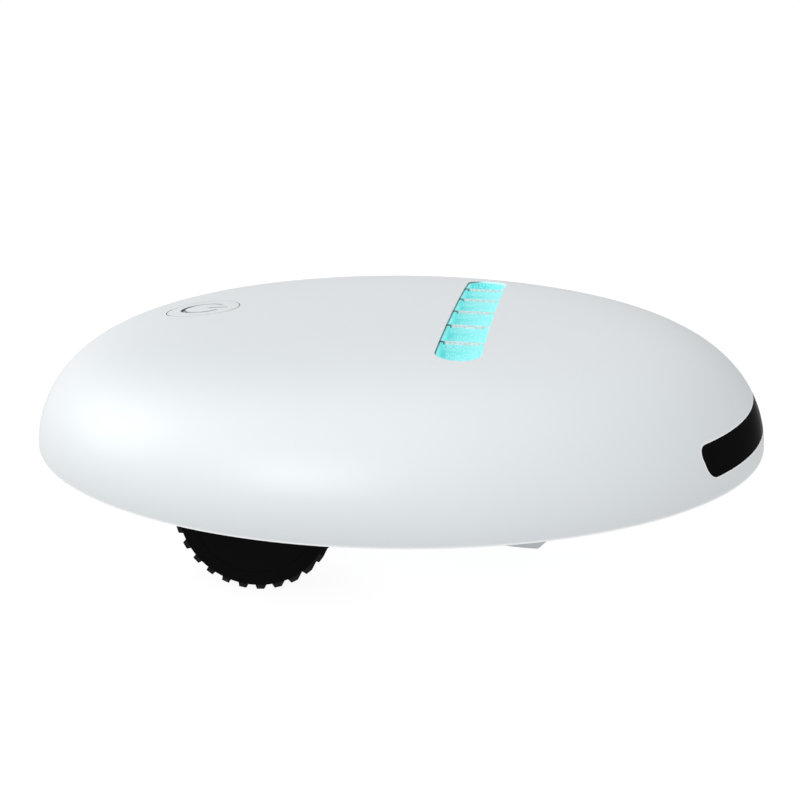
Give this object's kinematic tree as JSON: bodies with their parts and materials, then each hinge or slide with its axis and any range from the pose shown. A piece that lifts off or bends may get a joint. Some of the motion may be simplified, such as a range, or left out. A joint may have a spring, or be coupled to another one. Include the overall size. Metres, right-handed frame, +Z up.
{
  "type": "two wheel robot car",
  "caption": "Round pebble-shaped robot car: side wheels driven by gear motors under a dished shell, a front ball caster, smoked sensor window, lit strip and power button.",
  "frame": {"origin": "on the floor, under the body's vertical axis, where the tyres and the caster ball stand at height zero", "axes": "+X forward, towards the smoked window; +Y to the robot's left; +Z up"},
  "size_m": [0.31, 0.31, 0.1014],
  "materials": {
    "shell": "satin moulded, cool white",
    "pan": "fine matt moulding, cool white",
    "smoked": "polished, smoked black",
    "tray": "tinted translucent cyan",
    "led": "lamp chips, lit cyan",
    "rib": "satin moulded",
    "tyre": "matt black rubber",
    "hub": "black moulded",
    "gear": "natural acetal",
    "steel": "bright steel",
    "brass": "turned",
    "case": "dark grey moulded",
    "board": "green solder mask",
    "chip": "moulded black",
    "cell": "shrink-wrapped, blue",
    "sensor": "dark lens barrels",
    "ball": "polished acetal, pale"
  },
  "bodies": {
    "body": {"top_shell": "shell", "bottom_shell": "pan", "shell_screws": "steel", "light_tray": "tray", "light_ribs": "rib", "light_board": "board", "light_leds": "led", "light_screws": "steel", "front_window": "smoked", "sensor_bracket": "case", "sensor_boards": "board", "distance_sensors": "sensor", "sensor_screws": "steel", "button_bracket": "case", "button_spring": "steel", "switch_board": "board", "power_switch": "chip", "switch_screws": "steel", "caster_housing": "pan", "caster_cap": "case", "caster_screws": "steel", "battery_cells": "cell", "battery_cover": "pan", "main_board": "board", "board_chips": "chip", "board_screws": "steel", "left_motor": "steel", "left_gear_pins": "steel", "left_gearbox_case": "case", "left_gearbox_cover": "case", "left_gearbox_screws": "steel", "left_axle_bush": "brass", "right_motor": "steel", "right_gear_pins": "steel", "right_gearbox_case": "case", "right_gearbox_cover": "case", "right_gearbox_screws": "steel", "right_axle_bush": "brass"},
    "left_wheel": {"left_tyre": "tyre", "left_wheel_hub": "hub", "left_axle": "steel", "left_output_gear": "gear", "left_wheel_screw": "steel"},
    "left_second_gear": {"left_second_gear": "gear"},
    "left_first_gear": {"left_first_gear": "gear"},
    "left_rotor": {"left_motor_pinion": "brass"},
    "right_wheel": {"right_tyre": "tyre", "right_wheel_hub": "hub", "right_axle": "steel", "right_output_gear": "gear", "right_wheel_screw": "steel"},
    "right_second_gear": {"right_second_gear": "gear"},
    "right_first_gear": {"right_first_gear": "gear"},
    "right_rotor": {"right_motor_pinion": "brass"},
    "ball": {"caster_ball": "ball"},
    "power_button": {"button_cap": "shell", "switch_plunger": "rib"}
  },
  "joints": [
    {"name": "left_wheel_spin", "type": "hinge", "parent": "body", "child": "left_wheel", "pos_m": [-0.0488, 0.0655, 0.033], "axis": [0, 1, 0], "continuous": true},
    {"name": "left_second_gear_spin", "type": "hinge", "parent": "body", "child": "left_second_gear", "pos_m": [-0.03884, 0.0405, 0.04136], "axis": [0, 1, 0], "continuous": true},
    {"name": "left_first_gear_spin", "type": "hinge", "parent": "body", "child": "left_first_gear", "pos_m": [-0.02604, 0.038, 0.0391], "axis": [0, 1, 0], "continuous": true},
    {"name": "left_rotor_spin", "type": "hinge", "parent": "body", "child": "left_rotor", "pos_m": [-0.01471, 0.034, 0.04438], "axis": [0, 1, 0], "continuous": true},
    {"name": "right_wheel_spin", "type": "hinge", "parent": "body", "child": "right_wheel", "pos_m": [-0.0488, -0.0655, 0.033], "axis": [0, 1, 0], "continuous": true},
    {"name": "right_second_gear_spin", "type": "hinge", "parent": "body", "child": "right_second_gear", "pos_m": [-0.03884, -0.0405, 0.04136], "axis": [0, 1, 0], "continuous": true},
    {"name": "right_first_gear_spin", "type": "hinge", "parent": "body", "child": "right_first_gear", "pos_m": [-0.02604, -0.038, 0.0391], "axis": [0, 1, 0], "continuous": true},
    {"name": "right_rotor_spin", "type": "hinge", "parent": "body", "child": "right_rotor", "pos_m": [-0.01471, -0.034, 0.04438], "axis": [0, 1, 0], "continuous": true},
    {"name": "ball_roll", "type": "hinge", "parent": "body", "child": "ball", "pos_m": [0.052, 0, 0.01], "axis": [0, 1, 0], "continuous": true},
    {"name": "power_press", "type": "slide", "parent": "body", "child": "power_button", "axis": [0, 0, -1], "range_m": [0, 0.001], "stiffness_N_per_m": 400, "springref_m": -0.001, "deforming": ["button_spring"]}
  ],
  "couplings": [
    {"joint": "left_second_gear_spin", "follows": "left_wheel_spin", "ratio": -2.7143},
    {"joint": "left_first_gear_spin", "follows": "left_wheel_spin", "ratio": 7.3673},
    {"joint": "left_rotor_spin", "follows": "left_wheel_spin", "ratio": -23.33},
    {"joint": "right_second_gear_spin", "follows": "right_wheel_spin", "ratio": -2.7143},
    {"joint": "right_first_gear_spin", "follows": "right_wheel_spin", "ratio": 7.3673},
    {"joint": "right_rotor_spin", "follows": "right_wheel_spin", "ratio": -23.33}
  ]
}
